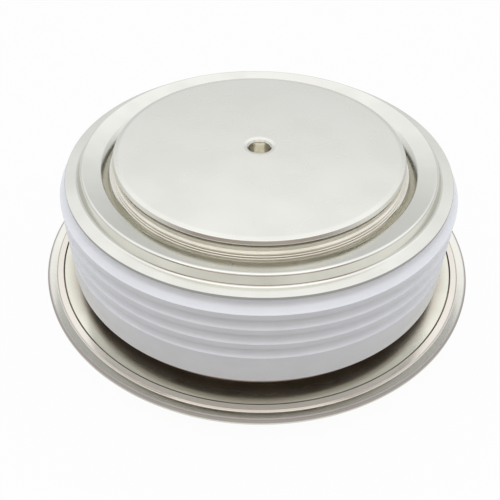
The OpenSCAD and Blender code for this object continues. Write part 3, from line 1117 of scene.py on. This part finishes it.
@dataclass(frozen=True)
class Terminals:
    """The gate tube with its tab, and the auxiliary cathode tab beside it."""

    gate_z: float = 8.9
    tube_d: float = 2.4
    lead_d: float = 0.8
    tube_start: float = 27.2
    tube_end: float = 36.1
    ceramic_r: float = 32.5
    braze_w: float = 0.62
    braze_rise: float = 0.6
    braze_bend: float = 0.55
    braze_sunk: float = 0.25
    barrel_wall: float = 0.6
    barrel_grip: float = 2.0
    tab_t: float = 0.8
    blade_l: float = 7.5
    blade_root: float = 0.4
    tip_share: float = 0.2
    trim_over: float = 1.0
    gate_w: float = 2.8
    aux_w: float = 4.8
    aux_angle: float = 16.0
    catch_d: float = 1.2
    foot_in: float = 32.6
    riser_out: float = 34.36
    flange_top: float = 4.3
    edge: float = 0.1

    def gate_tube(self) -> None:
        """Draws the gate tube, with the braze round its foot."""
        radius = self.tube_d / 2.0
        hole = self.lead_d / 2.0
        length = self.tube_end - self.tube_start
        tube = turned("gate_tube_drawn", soften([
            Corner(hole, 0.0, 0.05), Corner(radius, 0.0, 0.1), Corner(radius, length, 0.1), Corner(hole, length, 0.05),
        ], closed=True), SMALL_SIDES)
        tube.data.transform(along_y(self.tube_start, self.gate_z))
        dress(tube, Slot.NICKEL_SHEET, "gate_tube")
        foot = turned("gate_tube_braze", soften([
            Corner(radius, -self.braze_sunk),
            Corner(radius, self.braze_bend),
            *arc(radius + self.braze_rise, self.braze_rise, self.braze_bend, 180.0, 270.0),
            Corner(radius + self.braze_w, -self.braze_sunk),
        ], closed=True), SMALL_SIDES)
        foot.data.transform(along_y(self.ceramic_r, self.gate_z))
        dress(foot, Slot.NICKEL_SHEET)

    def gate_tab(self) -> None:
        """Stamps the gate tab, with its barrel crimped on the tube."""
        radius = self.tube_d / 2.0
        outer = radius + self.barrel_wall
        grip = self.barrel_grip
        end = grip + self.tab_t
        barrel = turned("gate_tab_stamped", soften([
            Corner(0.0, grip),
            Corner(radius, grip, 0.05),
            Corner(radius, 0.0, 0.12),
            Corner(outer, 0.0, 0.18),
            Corner(outer, end, 0.3),
            Corner(0.0, end),
        ], closed=False), SMALL_SIDES)
        barrel.data.transform(along_y(self.tube_end - grip, self.gate_z))
        start = self.tube_end + self.tab_t
        tip = start + self.blade_l
        root = start - self.blade_root
        half = self.gate_w / 2.0
        corner = self.gate_w * self.tip_share
        outline = [
            (-half, root), (half, root), (half, tip - corner),
            (half - corner, tip), (corner - half, tip), (-half, tip - corner),
        ]
        loops = [outline, circle(0.0, (start + tip) / 2.0, self.catch_d)]
        blade = plate("gate_blade", loops, self.tab_t, self.edge, Matrix.Translation((0.0, 0.0, self.gate_z * MM)))
        combine(barrel, blade, "UNION")
        dress(barrel, Slot.TIN_PLATE, "gate_tab")

    def aux_tab(self) -> None:
        """Bends the auxiliary cathode tab from a strip, and trims its tip."""
        tip = self.tube_end + self.tab_t + self.blade_l
        low = self.flange_top
        thick = self.tab_t
        high = self.gate_z + thick / 2.0
        inner = self.riser_out - thick
        bend = [
            Corner(self.foot_in, low, 0.1),
            Corner(self.riser_out, low, 0.9),
            Corner(self.riser_out, high - thick, 0.15),
            Corner(tip, high - thick, 0.1),
            Corner(tip, high, 0.1),
            Corner(inner, high, 0.9),
            Corner(inner, low + thick, 0.15),
            Corner(self.foot_in, low + thick, 0.1),
        ]
        stand = Matrix(((0.0, 0.0, 1.0, 0.0), (1.0, 0.0, 0.0, 0.0), (0.0, 1.0, 0.0, 0.0), (0.0, 0.0, 0.0, 1.0)))
        strip = plate("aux_cathode_tab_bent", [soften(bend, closed=True)], self.aux_w, self.edge, stand)
        over = self.trim_over
        half = self.aux_w / 2.0
        corner = self.aux_w * self.tip_share
        lift = Matrix.Translation((0.0, 0.0, self.gate_z * MM))
        cuts = [circle(0.0, (self.riser_out + tip) / 2.0, self.catch_d)]
        for side in (-1.0, 1.0):
            cuts.append([
                (side * (half - corner - over), tip + over),
                (side * (half + over), tip - corner - over),
                (side * (half + over), tip + over),
            ])
        for index, loop in enumerate(cuts):
            combine(strip, plate(f"trim_{index}", [loop], 3.0 * thick, TOOL_EDGE, lift), "DIFFERENCE")
        strip.data.transform(Matrix.Rotation(math.radians(-self.aux_angle), 4, "Z"))
        dress(strip, Slot.TIN_PLATE, "aux_cathode_tab")

    def build(self) -> None:
        """Builds the tube and both tabs."""
        self.gate_tube()
        self.gate_tab()
        self.aux_tab()


@dataclass(frozen=True)
class InnerStack:
    """The sealed pieces between the poles, which keep their solids."""

    SOLIDS: ClassVar[dict[Slot, tuple[str, ...]]] = {
        Slot.MOLYBDENUM: ("anode_moly_disc", "cathode_moly_disc"),
        Slot.SILICON: ("silicon_wafer",),
        Slot.SILICONE: ("edge_seal",),
        Slot.FLUOROPLASTIC: ("locating_ring", "gate_cup", "gate_guide", "gate_lead_cover"),
        Slot.SPRING_STEEL: ("gate_spring",),
        Slot.SILVER_PLATE: ("gate_pin", "gate_lead"),
    }

    def build(self) -> None:
        """Gives each solid its finish."""
        for slot, names in self.SOLIDS.items():
            for name in names:
                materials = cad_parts[name].data.materials
                materials.clear()
                materials.append(FINISHES.of(slot))
                LOG.info("%s: %s", name, slot.value)


@dataclass(frozen=True)
class Studio:
    """The camera, the floor and the light.

    The camera and the lamp are placed in millimetres and degrees, the clip and the floor in metres. The focal length
    is in pixels of a picture of the given width. The glow is the floor's brightness to the camera and in reflections,
    and the shadow is how much of the light on it shows. A rise is where, by the upward part of a direction, one colour
    of the tent goes over to the next, and front_to_back is the same by its backward part. A lamp level of 1 is white.
    """

    eye: tuple[float, float, float] = (0.0, -89.0, 83.29)
    pitch: float = 42.0
    yaw: float = -0.826
    roll: float = -0.901
    focal: float = 644.1
    picture: float = 500.0
    sensor: float = 36.0
    clip: tuple[float, float] = (0.001, 20.0)
    floor_r: float = 3.0
    floor_drop: float = 0.00005
    floor_sides: int = 96
    floor_color: Color = (0.28, 0.28, 0.28)
    floor_glow: float = 1.08
    shadow: float = 0.12
    skirt: Color = (1.0, 1.0, 1.0)
    skirt_rise: tuple[float, float] = (0.05, 0.16)
    front_low: Color = (0.31, 0.24, 0.23)
    front_high: Color = (0.45, 0.39, 0.38)
    front_rise: tuple[float, float] = (0.55, 0.92)
    back_low: Color = (0.775, 0.78, 0.83)
    back_high: Color = (1.28, 1.285, 1.37)
    back_rise: tuple[float, float] = (0.36, 0.72)
    front_to_back: tuple[float, float] = (-0.75, -0.05)
    lamp_at: tuple[float, float, float] = (0.0, -345.0, 530.0)
    lamp_size: float = 800.0
    lamp_level: float = 0.62
    lamp_color: Color = (0.96, 0.97, 1.0)

    def camera(self) -> None:
        """Sets the camera where the picture was taken."""
        pitch, yaw, roll = (math.radians(a) for a in (self.pitch, self.yaw, self.roll))
        ahead = Vector((math.sin(yaw) * math.cos(pitch), math.cos(yaw) * math.cos(pitch), -math.sin(pitch)))
        right = Vector((math.cos(yaw), -math.sin(yaw), 0.0))
        down = ahead.cross(right)
        across = math.cos(roll) * right + math.sin(roll) * down
        up = math.sin(roll) * right - math.cos(roll) * down
        turn = Matrix((across, up, -ahead)).transposed().to_4x4()
        lens = bpy.data.cameras.new("camera")
        lens.sensor_fit = "HORIZONTAL"
        lens.sensor_width = self.sensor
        lens.lens = self.focal / self.picture * self.sensor
        lens.clip_start, lens.clip_end = self.clip
        view = add_object("camera", lens)
        view.matrix_world = Matrix.Translation(Vector(self.eye) * MM) @ turn
        bpy.context.scene.camera = view

    def floor(self) -> None:
        """Lays a plain white floor that keeps a faint shadow."""
        ring = circle(0.0, 0.0, 2.0 * self.floor_r, self.floor_sides)
        verts = [(x, y, -self.floor_drop) for x, y in ring]
        mesh = bpy.data.meshes.new("floor")
        mesh.from_pydata(verts, [], [list(range(self.floor_sides))])
        piece = add_object("floor", mesh)
        material = bpy.data.materials.new("white_floor")
        material.use_nodes = True
        tree = Tree(material.node_tree)
        lit = tree.node("BsdfDiffuse", {"Color": self.floor_color})
        glow = tree.node("Emission", {"Strength": self.floor_glow})
        path = tree.node("LightPath", {})
        seen = tree.math("MAXIMUM", path.outputs["Is Camera Ray"], path.outputs["Is Glossy Ray"])
        seen = tree.math("MAXIMUM", seen, path.outputs["Is Transmission Ray"])
        share = tree.math("MULTIPLY", seen, 1.0 - self.shadow)
        mix = tree.node("MixShader", {0: share, 1: lit.outputs[0], 2: glow.outputs[0]})
        tree.node("OutputMaterial", {"Surface": mix.outputs[0]})
        mesh.materials.append(material)

    def world(self) -> None:
        """Lights the scene by a tent with a white skirt, bright behind and above and dim towards the camera."""
        world = bpy.data.worlds.new("tent")
        bpy.context.scene.world = world
        world.use_nodes = True
        tree = Tree(world.node_tree)
        parts = tree.node("SeparateXYZ", {0: tree.node("TexCoord", {}).outputs["Generated"]})
        along, up = parts.outputs["Y"], parts.outputs["Z"]
        back = tree.blend(tree.spread(up, 0.0, 1.0, *self.back_rise), self.back_low, self.back_high)
        front = tree.blend(tree.spread(up, 0.0, 1.0, *self.front_rise), self.front_low, self.front_high)
        tent = tree.blend(tree.spread(along, 0.0, 1.0, *self.front_to_back), front, back)
        skirted = tree.blend(tree.spread(up, 0.0, 1.0, *self.skirt_rise), self.skirt, tent)
        light = tree.node("Background", {"Color": skirted})
        tree.node("OutputWorld", {"Surface": light.outputs[0]})

    def lamp(self) -> None:
        """Hangs a large soft lamp over the front of the object, out of the camera's sight."""
        size = self.lamp_size * MM
        light = bpy.data.lights.new("overhead", "AREA")
        light.shape = "SQUARE"
        light.size = size
        light.color = self.lamp_color
        light.energy = self.lamp_level * math.pi * size ** 2
        hung = add_object("overhead", light)
        at = Vector(self.lamp_at) * MM
        hung.matrix_world = Matrix.Translation(at) @ at.to_track_quat("Z", "Y").to_matrix().to_4x4()
        hung.visible_camera = False

    def build(self) -> None:
        """Sets up the whole studio."""
        bpy.context.scene.view_settings.view_transform = "Standard"
        self.camera()
        self.floor()
        self.world()
        self.lamp()


def main() -> None:
    """Builds the studio and every piece."""
    logging.basicConfig(level=logging.INFO, format="%(name)s %(message)s")
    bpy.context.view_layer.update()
    Studio().build()
    Pole(End.ANODE, height=11.8, collar=2.85).build()
    Pole(End.CATHODE, height=10.5, collar=3.3).build()
    Diaphragm().build()
    CeramicRing().build()
    WeldedRim().build()
    Terminals().build()
    InnerStack().build()
    bpy.context.view_layer.update()


if __name__ == "__main__":
    main()
